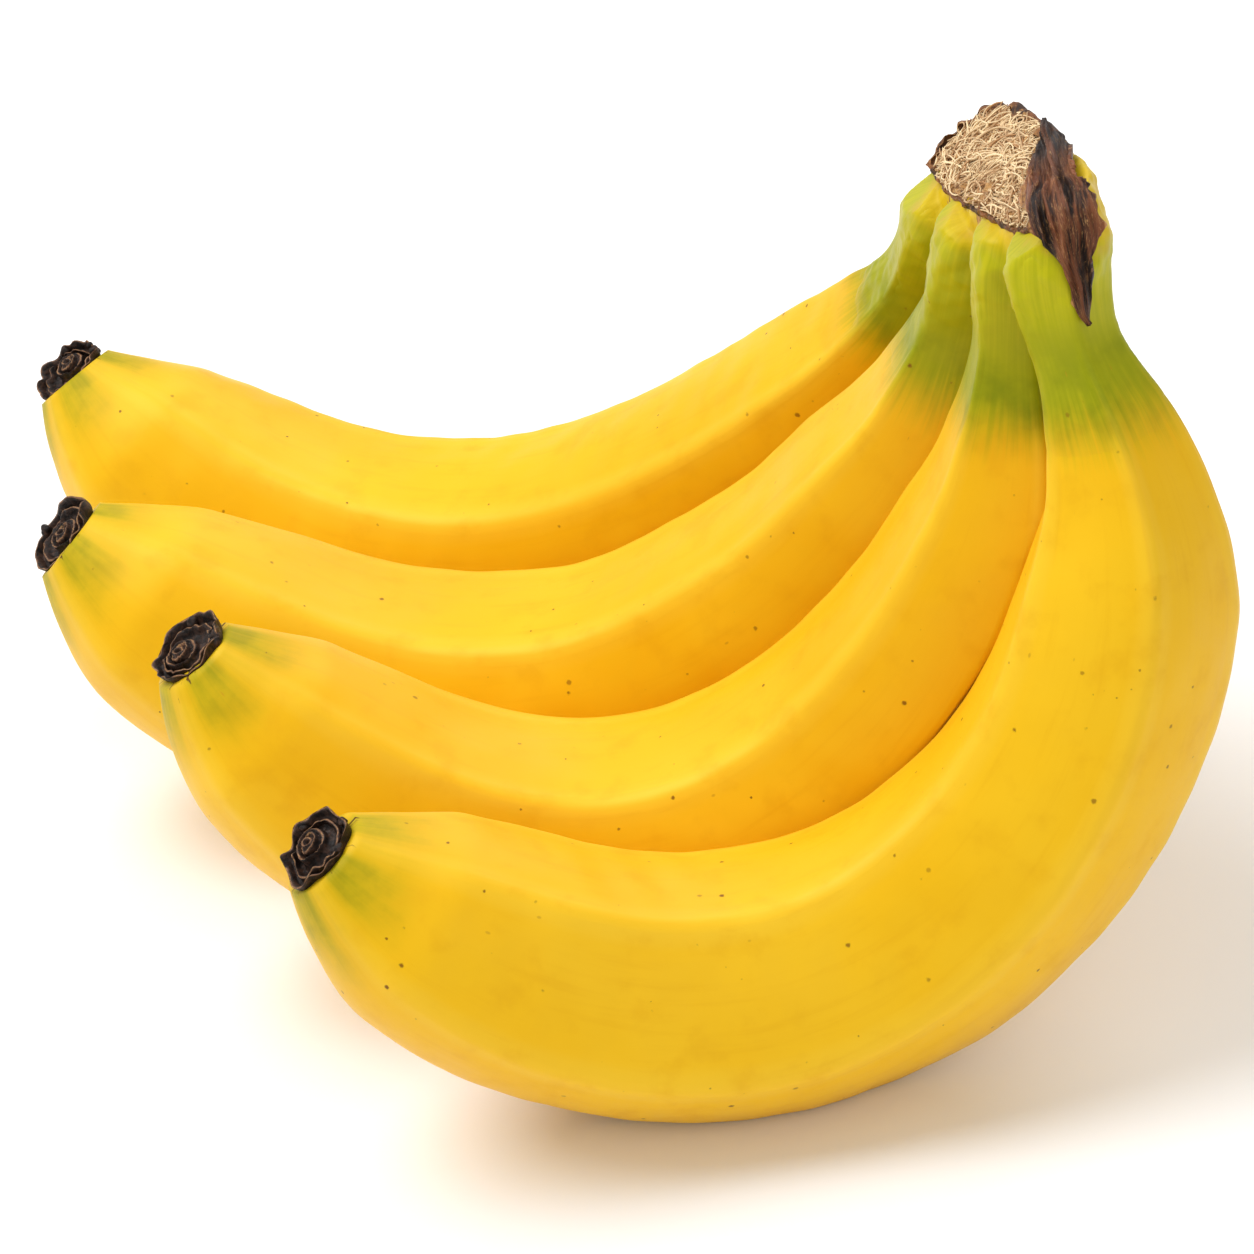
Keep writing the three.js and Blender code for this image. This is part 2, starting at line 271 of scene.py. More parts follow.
# %% [markdown]
# ## The straightened skin
# Streaks in the peel run along the fruit, round its bend. Object coordinates can't follow that, so
# every piece of peel keeps an attribute, skin: where each point lay before the banana was bent.
# Three more tell the shader how far the stalk and the tip are, and where the five ridges run.

# %% Where a point lies on a fruit
EVERY, BATCH = 4, 4000  # the first search reads every fourth axis point, for so many points at once
SKIN_RADIUS, SKIN_APART = 15.0, 97  # of the straightened fruits, in millimetres


def local(fruit, points):
    """Share of the length, angle, distance from the axis, and the axis point, for each point."""
    coarse = fruit.points[::EVERY]
    nearest = np.concatenate([
        ((part[:, None] - coarse[None]) ** 2).sum(-1).argmin(1)
        for part in np.array_split(points, max(1, len(points) // BATCH))])
    t = nearest * EVERY / fruit.fine
    for _ in range(2):
        off = points - fruit.at(fruit.points, t)
        t = np.clip(t + (off * fruit.at(fruit.along, t)).sum(1) / fruit.length, 0, 1)
    here = fruit.at(fruit.points, t)
    off = points - here
    angle = np.arctan2(-(off * fruit.at(fruit.side, t)).sum(1), (off * fruit.at(fruit.inward, t)).sum(1))
    return t, angle, np.linalg.norm(off, axis=1), here


def keep_attribute(obj, name, values):
    kind = "FLOAT_VECTOR" if values.ndim == 2 else "FLOAT"
    attribute = obj.data.attributes.new(name, kind, "POINT")
    attribute.data.foreach_set("vector" if values.ndim == 2 else "value", values.ravel())


def keep_skin(obj, which):
    """Straightened coordinates for a piece of peel. which is the fruit of each vertex."""
    points = points_of(obj)
    skin, stalk, tip, ridge = np.zeros((len(points), 3)), *np.zeros((3, len(points)))
    for i, fruit in enumerate(fruits):
        mine = which == i
        if not mine.any():
            continue
        t, angle, _, _ = local(fruit, points[mine])
        # Past the foot the axis runs straight on.
        beyond = ((points[mine] - fruit.points[0]) * fruit.along[0]).sum(1)
        along = np.where(t > 0, t * fruit.length, beyond)
        skin[mine] = np.stack([SKIN_RADIUS * np.cos(angle) + SKIN_APART * i,
                               SKIN_RADIUS * np.sin(angle), along], axis=1)
        stalk[mine] = along
        tip[mine] = fruit.length * (1 - t)
        ridge[mine] = np.cos(5 * (angle - fruit.roll))
    keep_attribute(obj, "skin", skin * MM)
    keep_attribute(obj, "stalk", stalk)
    keep_attribute(obj, "tip", tip)
    keep_attribute(obj, "ridge", ridge)


# %% [markdown]
# ## The crown's frame
# The crown was cut off along a plane that looks up and back over the fruits. The plane's own axes
# come before the fruits, because the tops of their stalks are pressed down onto it.

# %% The crown's own frame and section, in millimetres
CROWN_LIFT = np.mean([f.points[0, 2] - (LAY @ [v["foot"][0], v["row"][0], v["foot"][1]])[2]
                      for f, v in zip(fruits, FRUITS)])
CROWN_MID = LAY @ [51.6, -19.2, 78.2] + [0, 0, CROWN_LIFT]
CROWN_ALONG = LAY @ unit(np.array([0.251, -0.919, 0.304]))
CROWN_UP = LAY @ unit(np.array([-0.69, 0.05, 0.722]))
CROWN_OUT = unit(np.cross(CROWN_UP, CROWN_ALONG))
CROWN_START, CROWN_END = -35, 29
CROWN_ACROSS, CROWN_WIDE = (2.6, -2.1), (9, 7.2)  # the middle and the half width, at both ends
CROWN_DOWN, CROWN_DEEP, CROWN_LEAN = -4.5, 8.5, 0.5
CROWN_BLUNT, CROWN_TAPER, CROWN_SQUARE = 4, 0.4, 0.8  # powers of the ends, the shoulders, the section
CROWN_REACH = 45  # from its middle


def crown_point(along, across, up):
    return (CROWN_MID + np.multiply.outer(along, CROWN_ALONG) + np.multiply.outer(across, CROWN_OUT)
            + np.multiply.outer(up, CROWN_UP))


def crown_frame(points):
    off = points - CROWN_MID
    return off @ CROWN_ALONG, off @ CROWN_OUT, off @ CROWN_UP


def below_cut(points, height):
    """Presses what stands out of the crown's face down onto it, and leaves the rest."""
    up = crown_frame(points)[2]
    at_crown = np.linalg.norm(points - CROWN_MID, axis=1) < CROWN_REACH
    return points - np.multiply.outer(np.maximum(up - height, 0) * at_crown, CROWN_UP)


# %% The four fruits
def share_out(u, rings, foot, cap):
    """Uses a sphere's rings for a dome over the foot, for the body and for a cap that shuts it."""
    ring = u * rings
    dome = np.clip(1 - ring / foot, 0, 1) * math.pi / 2
    return rise(ring, foot, rings - foot - cap), dome, fall(ring, rings, cap)


def fruit_piece(i):
    fruit = fruits[i]
    rings = 250
    end = 1 - BODY_END / fruit.length

    def place(u, angle):
        body, dome, close = share_out(u, rings, foot=6, cap=6)
        return fruit.skin(body * end, angle, dome=dome, shrink=close)

    obj = shaped_sphere(f"peel_{i + 1}", 90, rings, place)
    points = points_of(obj)
    t, _, _, here = local(fruit, points)
    swell = 0.16 * wobble(points, 34, i) + 0.05 * wobble(points, 9, i + 20)
    points += unit(points - here + 1e-9) * (swell * fall(t, 1, 0.1))[:, None]
    if i:
        # A fruit is pressed flat where it leans on the one in front of it.
        front = fruits[i - 1]
        t, angle, far, here = local(front, points)
        skin = np.linalg.norm(front.skin(t, angle) - here, axis=1) + TOUCHING
        inside = (far < skin) & (t > 0.04) & (t < 0.99)
        points[inside] = (here + (points - here) * (skin / far)[:, None])[inside]
    points[:, 2] = np.maximum(points[:, 2], 0)
    points = below_cut(points, -0.5)
    move_points(obj, points)
    keep_skin(obj, np.full(len(points), i))
    report(obj)
    return obj


peels = [fruit_piece(i) for i in range(4)]

# %% [markdown]
# ## The crown
# The stalks meet in one cushion of tissue, which was cut off flat where it left the stem. In life
# it has no seams, so cushion and stalk tops are joined, turned into one skin by a voxel remesh and
# smoothed until the creases between them are as soft as the real ones.

# %% The crown's section
def fatness(w):
    """Share of the full section at w, which runs from -1 to 1 along the cushion."""
    return np.maximum(0, 1 - np.abs(w) ** CROWN_BLUNT) ** CROWN_TAPER


def cushion(u, angle, grow=0.0):
    w = np.sin((2 * u - 1) * math.pi / 2)
    fat = fatness(w)
    power = lambda v: np.sign(v) * np.abs(v) ** CROWN_SQUARE
    up = power(np.sin(angle)) * (CROWN_DEEP * fat + grow * (fat > 0))
    wide = np.interp(w, [-1, 1], CROWN_WIDE)
    across = power(np.cos(angle)) * (wide * fat + grow * (fat > 0)) + CROWN_LEAN * up
    along = (CROWN_START + CROWN_END) / 2 + w * ((CROWN_END - CROWN_START) / 2 + grow)
    return crown_point(along, np.interp(w, [-1, 1], CROWN_ACROSS) + across, CROWN_DOWN + up)


def cut(obj, height, above=True):
    """Cuts a piece along the crown's face, height millimetres out of it, and shuts the cut."""
    select(obj)
    bpy.ops.object.mode_set(mode="EDIT")
    bpy.ops.mesh.select_all(action="SELECT")
    bpy.ops.mesh.bisect(plane_co=Vector((crown_point(0, 0, height) + shift) * MM),
                        plane_no=Vector(CROWN_UP), use_fill=True, clear_outer=above,
                        clear_inner=not above)
    bpy.ops.object.mode_set(mode="OBJECT")


# %% The crown's skin with its four knuckles
def collar(i):
    """The top of a stalk, a hair wider than the fruit's own and sunk into it at its lower end."""
    rings, reach = 60, 0.17

    def place(u, angle):
        body, dome, close = share_out(u, rings, foot=6, cap=4)
        grow = 0.25 - 1.2 * rise(body, 0.75, 0.25)
        return fruits[i].skin(body * reach, angle, grow=grow, dome=dome, shrink=close)

    return shaped_sphere(f"collar_{i + 1}", 48, rings, place)


crown_skin = shaped_sphere("crown_skin", 72, 72, cushion)
cut(crown_skin, 0)
select(crown_skin, *[collar(i) for i in range(4)])
bpy.ops.object.join()
apply_modifier(crown_skin, "REMESH", mode="VOXEL", voxel_size=0.5 * MM)
apply_modifier(crown_skin, "SMOOTH", factor=0.5, iterations=16)
points = points_of(crown_skin)
up = crown_frame(points)[2]
swell = 0.16 * wobble(points, 7, 5) + 0.06 * wobble(points, 2.6, 6)
near = rise(up, -13, 6) * fall(up, 0, 1)
points += vertices_of(crown_skin, "normal") * (swell * near)[:, None]
points = below_cut(points, 0.1)
move_points(crown_skin, points)
which = np.argmin([local(f, points)[2] for f in fruits], axis=0)
keep_skin(crown_skin, which)
bpy.ops.object.shade_smooth()
report(crown_skin)

# %% [markdown]
# ## The cut face
# The cut shows the crown's inside: a mat of pale, dry fibres, tangled and curled. A low bumpy bed
# carries more than a thousand real strands, each a thin curve with a bevel, so that they cast their
# own shadows. Most run aslant over the face in locks, and some curl into loops.

# %% The bed under the strands
bed = shaped_sphere("fibre_bed", 72, 72, lambda u, angle: cushion(u, angle, -0.15))
cut(bed, 0.5)
cut(bed, -2.5, above=False)
apply_modifier(bed, "REMESH", mode="VOXEL", voxel_size=0.45 * MM)
apply_modifier(bed, "SMOOTH", factor=0.5, iterations=3)
points = points_of(bed)
along, across, up = crown_frame(points)
lumps = 0.35 * wobble(points, 6, 8) + 0.2 * wobble(points, 2, 9)
# The bed is lower and narrower under the flap, which lies close to the face.
under_flap = rise(along, 5, 4) * rise(across, -1, 3)
points += (lumps * (up > 0) - 2.2 * under_flap)[:, None] * CROWN_UP
points -= (3.0 * under_flap)[:, None] * CROWN_OUT
move_points(bed, points)
turn_out(bed)
report(bed)


# %% The face's outline, where the cushion meets the cut
def read_rows(rows, at, wanted):
    """Each column of rows, which stand at the places at, read at the wanted places."""
    return np.stack([np.interp(wanted, at, column) for column in rows.T], axis=1)


def outline(count):
    """Points round the cut face, as along and across, evenly spaced."""
    full = (1 - (-CROWN_DOWN / CROWN_DEEP) ** (1 / CROWN_TAPER)) ** (1 / CROWN_BLUNT)
    w = np.sin(np.linspace(-1, 1, 400) * math.pi / 2) * full
    fat = fatness(w)
    sine = np.clip(-CROWN_DOWN / (CROWN_DEEP * fat), 0, 1) ** (1 / CROWN_SQUARE)
    half = np.interp(w, [-1, 1], CROWN_WIDE) * fat * (1 - sine**2) ** (CROWN_SQUARE / 2)
    middle = np.interp(w, [-1, 1], CROWN_ACROSS) - CROWN_LEAN * CROWN_DOWN
    along = (CROWN_START + CROWN_END) / 2 + w * (CROWN_END - CROWN_START) / 2
    loop = np.concatenate([np.stack([along, middle + half], 1),
                           np.stack([along, middle - half], 1)[::-1]])
    run = np.concatenate([[0], np.cumsum(np.linalg.norm(np.diff(loop, axis=0), axis=1))])
    return read_rows(loop, run, np.arange(count) / count * run[-1])


# %% The strands
STRANDS, STRAND_POINTS, STRAND_RADIUS = 1250, 18, 0.125
SHORTEST = 6  # points that a strand needs inside the face
SWEEP = 2.0  # stretches the fibres along the crown


def strand():
    """One fibre as along, across and up of its points. Neighbours share a direction, as in locks
    of hair, and every fifth one is curled."""
    start = np.array([draw.uniform(-34, 27), draw.uniform(-6, 12)])
    lock = math.sin(start[0] * 0.21 + start[1] * 0.34) + math.sin(start[0] * 0.12 - start[1] * 0.5 + 2)
    heading = 1.15 + 0.55 * lock + draw.normal(0, 0.3)
    if draw.random() < 0.2:
        curl = draw.choice([-1, 1]) * draw.uniform(0.35, 0.75)
        step = draw.uniform(0.3, 0.6)
    else:
        curl = 0.07 * lock + draw.normal(0, 0.07)
        step = draw.uniform(0.4, 0.8)
    path, height = [start], [draw.uniform(0.2, 1.3)]
    phase, swing = draw.uniform(0, 6.28), draw.uniform(0.15, 0.75)
    for k in range(STRAND_POINTS - 1):
        heading += curl + draw.normal(0, 0.12)
        path.append(path[-1] + step * np.array([SWEEP * math.cos(heading), math.sin(heading)]))
        height.append(height[0] + swing * math.sin(phase + 0.4 * k))
    return np.column_stack([path, height])


def inside_face(flat, edge):
    """Whether points lie inside the outline edge, by the angle that it turns round them."""
    a = edge[None] - flat[:, None]
    b = np.roll(edge, -1, axis=0)[None] - flat[:, None]
    turned = np.arctan2(a[..., 0] * b[..., 1] - a[..., 1] * b[..., 0], (a * b).sum(-1)).sum(1)
    return np.abs(turned) > 3


# %% The flap's two edges, because the strands keep out from under it
# Each row goes down the flap: its left end, then its right end, as x, y and z before the laying.
FLAP_ROWS = np.array([
    [56.8, -13.3, 84.5, 57.8, -15.6, 85.6],
    [56, -19, 84.1, 59.1, -23.8, 87.5],
    [55.1, -25, 83.7, 60.4, -34.8, 89.4],
    [54.1, -31, 83.4, 61.7, -41, 89.2],
    [53.2, -37.5, 84.8, 62.2, -43, 88.2],
    [52.8, -43, 85.6, 62.6, -44.6, 86.8],
    [53.6, -46.6, 83.9, 63, -46, 84.4],
    [56, -48.2, 81.5, 61.7, -47.6, 81.3],
    [57.8, -48.9, 78, 61.5, -47.6, 77.4],
    [59.3, -49.1, 74, 61, -48.4, 73.8],
    [60.3, -49, 72.6, 60.8, -48.8, 72.5],
])
# The edges count as a little further over the face, so that the strands reach in under the flap.
covered = np.concatenate([FLAP_ROWS[:, :3] + [2.5, 0, 2.5], FLAP_ROWS[::-1, 3:] + [2, 0, 2]]) @ LAY.T
covered = np.stack(crown_frame(covered + [0, 0, CROWN_LIFT])[:2], axis=1)
print("the flap hides the face over", np.ptp(covered, axis=0).round(1), "mm along and across")

# %% The strands as curves
edge = outline(120)
fibres = bpy.data.curves.new("fibres", "CURVE")
fibres.dimensions = "3D"
fibres.bevel_depth = STRAND_RADIUS * MM
fibres.bevel_resolution = 0
fibres.use_fill_caps = True
tones = []
while len(tones) < STRANDS:
    path = strand()
    free = inside_face(path[:, :2], edge) & ~inside_face(path[:, :2], covered)
    reach = STRAND_POINTS if free.all() else int(free.argmin())
    if reach < SHORTEST:
        continue
    # A strand that would leave the face ends at its edge.
    path = read_rows(path, np.arange(STRAND_POINTS), np.linspace(0, reach - 1, STRAND_POINTS))
    spline = fibres.splines.new("POLY")
    spline.points.add(STRAND_POINTS - 1)
    places = (crown_point(*path.T) + shift) * MM
    thick = np.sin(np.linspace(0.25, 2.9, STRAND_POINTS)) ** 0.5 * draw.uniform(0.45, 1.45)
    for point, place_at, share in zip(spline.points, places, thick):
        point.co, point.radius = (*place_at, 1), share
    # The fibres are darker towards the edge of the face.
    to_edge = np.linalg.norm(edge - path[:, :2].mean(0), axis=1).min()
    tones.append(draw.uniform(0.15, 1) * min(1, 0.3 + to_edge / 5))
deselect()
strands = bpy.data.objects.new("fibre_strands", fibres)
scene.collection.objects.link(strands)
select(strands)
bpy.ops.object.convert(target="MESH")
strands = bpy.context.object
strands.name = strands.data.name = "fibre_strands"
per_strand = len(strands.data.vertices) // STRANDS
keep_attribute(strands, "tone", np.repeat(tones, per_strand))
bpy.ops.object.shade_smooth()
report(strands)

# %% [markdown]
# ## Dry skin round the cut
# The skin has dried to a dark, curled lip round the face: low along the stalks, rolled over in
# lumps at the far edge. It is a torus laid along the outline, its section drawn out to a thin leaf.

# %% The curled rim
RIM_POINTS = 480


def rim_place(s, c):
    """s runs round the face from 0 to 1, c round the leaf's section. Also gives q, which runs from
    0 at the leaf's root to 1 at its free edge."""
    loop = outline(RIM_POINTS)
    closed = np.vstack([loop, loop[:1]])
    flat = read_rows(closed, np.arange(RIM_POINTS + 1), s * RIM_POINTS)
    ahead = read_rows(closed, np.arange(RIM_POINTS + 1), (s * RIM_POINTS + 2) % RIM_POINTS)
    tangent = unit(ahead - flat)
    out = np.stack([tangent[:, 1], -tangent[:, 0]], axis=1)
    out *= np.sign(((flat - loop.mean(0)) * out).sum(1))[:, None]
    along, across = flat.T
    # It stands higher at the far edge and at the left end, is folded over at that end's near
    # corner, and is missing where the flap lies.
    far_edge, left_end = rise(across, 3, 6), fall(along, -22, 8)
    fold = fall(along, -26, 5) * fall(across, 5, 3)
    bare = rise(along, 2, 6) * rise(across, -2, 4)
    ring = np.stack([np.cos(2 * math.pi * s), np.sin(2 * math.pi * s), 0 * s], 1) * 30
    height = (0.7 + 0.7 * far_edge + 0.2 * left_end + 0.5 * fold) * (1 + 0.25 * wobble(ring, 14, 33))
    height += 0.2 * wobble(ring, 5, 31) * (0.5 + far_edge + left_end)
    height = np.maximum(height, 0.15) * (1 - bare)
    q = (1 - np.cos(c)) / 2
    leaf = (0.26 - 0.14 * q) * (1 + 0.8 * fold + 0.6 * far_edge) * np.sin(c)
    curl = (0.25 + 1.1 * far_edge) * (1 + 0.3 * wobble(ring, 9, 35)) * (1 - fold)
    up = -2.0 + (2.0 + height) * np.sin(q * math.pi / 2 * 1.15)
    past = -0.2 + (0.3 + 0.2 * far_edge + 1.0 * fold) * np.sin(q * math.pi * 0.8) - curl * q**3 + leaf
    past += 0.2 * wobble(ring + q[:, None] * 3, 3.6, 37) * q - 1.6 * bare
    up += 0.14 * wobble(ring + q[:, None] * 2, 2.4, 38) * q - 1.2 * bare
    return crown_point(along + out[:, 0] * past, across + out[:, 1] * past, up), q


deselect()
bpy.ops.mesh.primitive_torus_add(major_segments=420, minor_segments=18, major_radius=1, minor_radius=0.3)
rim = bpy.context.object
rim.name = rim.data.name = "crown_rim"
x, y, z = vertices_of(rim).T
around = (np.arctan2(y, x) / (2 * math.pi)) % 1
points, root_to_edge = rim_place(around, np.arctan2(z, np.hypot(x, y) - 1))
move_points(rim, points)
keep_attribute(rim, "edge", root_to_edge)
turn_out(rim)
report(rim)

# %% [markdown]
# ## The dried flap
# A piece of dried skin folds over the front of the cut face and hangs down the first stalk to a
# point. It starts as a grid whose rows are laid between the flap's two edges, with folds that run
# down its length, and gets its thickness from a Solidify modifier.

# %% The flap
FLAP_FACING = LAY @ [-0.5, -0.6, 0.6]
NEARBY = 0.01  # share of the flap's length over which its direction is taken


def flap_place(u, v):
    """Points of the flap, with u from its left edge to its right one and v from its fold to its
    tip. Also gives u within the ragged outline, and the height of the creases."""
    stations = np.linspace(0, 1, len(FLAP_ROWS))
    lay = lambda share: np.stack([curve(stations, column)(share) for column in FLAP_ROWS.T], axis=1)
    ragged = 0.05 * wobble(np.stack([v * 60, 0 * v, 0 * v], 1), 7, 41) * np.sin(math.pi * v)
    slim = 1.03 - 0.22 * hump(v, 0.7, 0.11)
    u = 0.5 + (u - 0.5) * (slim + 2 * ragged) - 0.22 * hump(v, 0.28, 0.2) * u
    before, row, after = lay(np.maximum(v - NEARBY, 0)), lay(v), lay(np.minimum(v + NEARBY, 1))
    left, right = row[:, :3] @ LAY.T, row[:, 3:] @ LAY.T
    down = ((after - before)[:, :3] + (after - before)[:, 3:]) @ LAY.T
    across = right - left
    out = unit(np.cross(across, down) + 1e-9)
    out *= np.sign(out @ FLAP_FACING)[:, None]
    width = np.linalg.norm(across, axis=1)
    fold = np.stack([(u - 0.5) * width, v * 9, 0 * u], axis=1)
    crease = wobble(fold * [1, 0.35, 1], 4.2, 43) - 0.9 * np.abs(wobble(fold * [1, 0.5, 1], 2.6, 44))
    crease += 0.3 * wobble(fold * [1, 0.6, 1], 1.3, 45) - 0.35 * np.abs(wobble(fold * [1, 0.3, 1], 1.5, 46))
    bulge = np.sin(math.pi * np.clip(u, 0, 1))
    high = 0.85 + 1.1 * bulge + 0.7 * crease * np.minimum(1, width / 5) * (0.4 + 0.6 * bulge)
    # A raised fold runs down the left edge, with a groove beside it.
    high += 0.9 * hump(u, 0.12, 0.1) * rise(v, 0.1, 0.2) * fall(v, 0.8, 0.2)
    high -= 0.7 * hump(u, 0.3, 0.12) * fall(v, 0.55, 0.3)
    return left + across * u[:, None] + out * high[:, None] + [0, 0, CROWN_LIFT], u, crease


deselect()
bpy.ops.mesh.primitive_grid_add(x_subdivisions=72, y_subdivisions=200, size=2)
flap = bpy.context.object
flap.name = flap.data.name = "dried_flap_skin"
x, y, _ = vertices_of(flap).T
down_share = (1 - y) / 2
points, across_share, creases = flap_place((x + 1) / 2, down_share)
move_points(flap, points)
keep_attribute(flap, "side", across_share)
keep_attribute(flap, "down", down_share)
keep_attribute(flap, "fold", creases)
print("creases from", creases.min().round(1), "to", creases.max().round(1))
apply_modifier(flap, "SOLIDIFY", thickness=0.55 * MM, offset=-1.0)
turn_out(flap)
report(flap)

# %% [markdown]
# ## The blossom ends
# Each tip ends in the black, dry base of its flower: a ragged lip round a hollow, with a rolled
# bud a little off the middle. The section is drawn as a lathe's would be and moved onto a sphere's
# rings; then noise tears the lip, and a few hard crumbs sit on its upper side.

# %% The four blossom ends
CAP_TILT = [0.24, 0.26, 0.42, 0.5]  # how far each one looks to the front, as a share of its direction
# The section, as radius and height, from the middle underneath out and over to the bud's top.
CAP_R = [0, 3.9, 4.9, 5.5, 5.8, 5.5, 5.0, 4.5, 4.3, 4.0, 3.6,
         3.1, 2.6, 2.4, 2.1, 1.7, 1.5, 1.1, 0.7, 0.4, 0]
CAP_H = [-1.5, -1.4, -0.6, 0.3, 1.8, 1.7, 0.6, 0.5, 1.3, 1.4, 0.4,
         0.2, 0.6, 1.7, 1.8, 1.4, 2.1, 1.9, 2.4, 2.3, 1.9]
CAP_SUNK = 0.3  # into the end of the peel
CAP_RIMS = [0.215, 0.425, 0.68, 0.81, 0.91]  # where the lips and the bud's rings stand highest
CRUMBS, CRUMB_PLACE = 4, 5.2  # on each, this far from the middle


def blossom_piece(i):
    fruit = fruits[i]
    t = np.array(1 - (BODY_END - CAP_SUNK) / fruit.length)
    centre = fruit.at(fruit.points, t)
    axis = unit(fruit.at(fruit.along, t) + CAP_TILT[i] * np.array([0.0, -1.0, 0.25]))
    side = unit(np.cross(axis, fruit.at(fruit.inward, t)))
    inward = np.cross(side, axis)
    stations = np.linspace(0, 1, len(CAP_R))
    bud = np.array([0.5 * math.cos(i * 1.7 + 2), 0.5 * math.sin(i * 1.7 + 2)])
    high = []  # takes, from place, how near each vertex lies to a lip or to a ring of the bud

    def place(u, angle):
        r, h = curve(stations, CAP_R)(u), curve(stations, CAP_H)(u)
        ring = np.stack([np.cos(angle) * 8, np.sin(angle) * 8, u * 9], axis=1)
        flat_ring = ring * [1, 1, 0]
        lip = hump(u, 0.22, 0.08) + 0.7 * hump(u, 0.43, 0.06)
        r = r * (1 + 0.05 * wobble(flat_ring, 9, 50 + i)) + 0.18 * lip * wobble(ring, 4, 60 + i)
        h = h + 0.34 * lip * wobble(flat_ring, 6, 70 + i) + 0.05 * wobble(ring, 2.2, 80 + i) * (u > 0.2)
        # The bud is wound up: its ridges climb as they turn.
        h = h + 0.3 * rise(u, 0.5, 0.1) * fall(u, 1, 0.12) * np.sin(angle + 26 * u)
        high.append(hump(u[:, None], CAP_RIMS, 0.026).max(1))
        x = r * np.cos(angle) + bud[0] * rise(u, 0.45, 0.1) * 2
        y = r * np.sin(angle) + bud[1] * rise(u, 0.45, 0.1) * 2
        return (centre + np.multiply.outer(x, inward) + np.multiply.outer(y, side)
                + np.multiply.outer(h, axis))

    cap = shaped_sphere(f"blossom_{i + 1}", 96, 130, place)
    crumbs = []
    for k in range(CRUMBS):
        turn = draw.uniform(-0.9, 2.4)
        size = draw.uniform(0.45, 0.9)
        spot = (centre + inward * CRUMB_PLACE * math.cos(turn) + side * CRUMB_PLACE * math.sin(turn)
                + axis * draw.uniform(0.6, 1.7))
        deselect()
        bpy.ops.mesh.primitive_ico_sphere_add(subdivisions=3, radius=size * MM,
                                              location=Vector((spot + shift) * MM))
        crumb = bpy.context.object
        bpy.ops.object.transform_apply(location=True)
        at = points_of(crumb)
        move_points(crumb, spot + (at - spot) * (1 + 0.16 * wobble(at, 1.6, 90 + 9 * i + k))[:, None])
        crumbs.append(crumb)
    select(cap, *crumbs)
    bpy.ops.object.join()
    bpy.ops.object.shade_smooth()
    # A painted highlight in tan lies on the lips and on the bud's rings; the crumbs are dark all over.
    keep_attribute(cap, "edge", np.append(high[0], np.zeros(len(cap.data.vertices) - len(high[0]))))
    report(cap)
    return cap


caps = [blossom_piece(i) for i in range(4)]

# %% [markdown]
# ## Writing shaders as sums
# A node tree is easier to read as arithmetic. One small class wraps a socket, so that an expression
# on values adds its Math nodes, and one method adds any other node: its settings first, then the
# values or links of its sockets.

# %% A socket that can be added and multiplied
class Value:
    def __init__(self, look, socket):
        self.look, self.socket = look, socket

    def math(self, operation, *others):
        made = self.look.node("Math", dict(operation=operation), dict(enumerate((self, *others))))
        return Value(self.look, made.outputs[0])

    def __add__(self, other): return self.math("ADD", other)
    def __sub__(self, other): return self.math("SUBTRACT", other)
    def __mul__(self, other): return self.math("MULTIPLY", other)
    def __truediv__(self, other): return self.math("DIVIDE", other)
    def __rsub__(self, other): return (self * -1) + other
    __radd__, __rmul__ = __add__, __mul__

    def size(self): return self.math("ABSOLUTE")

    def ramp(self, low, high):
        """0 at low, 1 at high, with soft ends. low may be the greater one."""
        flip = low > high
        made = self.look.node("MapRange", dict(interpolation_type="SMOOTHSTEP"),
                              {"Value": self, "From Min": min(low, high), "From Max": max(low, high)})
        share = Value(self.look, made.outputs["Result"])
        return 1 - share if flip else share


class Look:
    """A material, built as expressions."""

    def __init__(self, name):
        self.material = bpy.data.materials.new(name)
        self.material.use_nodes = True
        self.tree = self.material.node_tree
        self.shader = self.tree.nodes["Principled BSDF"]

    def node(self, kind, settings=(), sockets=()):
        made = self.tree.nodes.new("ShaderNode" + kind)
        for key, value in dict(settings).items():
            setattr(made, key, value)
        for key, value in dict(sockets).items():
            if isinstance(value, Value):
                self.tree.links.new(value.socket, made.inputs[key])
            else:
                made.inputs[key].default_value = value
        return made

    def attribute(self, name):
        made = self.node("Attribute", dict(attribute_type="GEOMETRY", attribute_name=name))
        return Value(self, made.outputs["Vector" if name == "skin" else "Fac"])

    def here(self):
        return Value(self, self.node("TexCoord").outputs["Object"])

    def stretch(self, vector, scale):
        made = self.node("VectorMath", dict(operation="MULTIPLY"), {0: vector, 1: scale})
        return Value(self, made.outputs[0])

    def noise(self, vector, scale, detail=3.0, roughness=0.5, distortion=0.0):
        made = self.node("TexNoise", {}, {"Vector": vector, "Scale": scale, "Detail": detail,
                                          "Roughness": roughness, "Distortion": distortion})
        return Value(self, made.outputs["Fac"])

    def cells(self, vector, scale):
        """Distance to the nearest seed, in cells, and three random numbers of that seed."""
        made = self.node("TexVoronoi", dict(feature="F1"), {"Vector": vector, "Scale": scale})
        split = self.node("SeparateColor", {}, {"Color": Value(self, made.outputs["Color"])})
        return Value(self, made.outputs["Distance"]), *[Value(self, s) for s in split.outputs]

    def mix(self, first, second, share):
        made = self.node("Mix", dict(data_type="RGBA"), {0: share, 6: first, 7: second})
        return Value(self, made.outputs[2])

    def bump(self, height, distance, strength=1.0):
        """distance is how far a height of 1 stands out, in millimetres."""
        made = self.node("Bump", {}, {"Height": height, "Distance": distance * MM, "Strength": strength})
        return Value(self, made.outputs["Normal"])

    def set(self, **sockets):
        for key, value in sockets.items():
            socket = self.shader.inputs[key.replace("_", " ")]
            if isinstance(value, Value):
                self.tree.links.new(value.socket, socket)
            else:
                socket.default_value = value


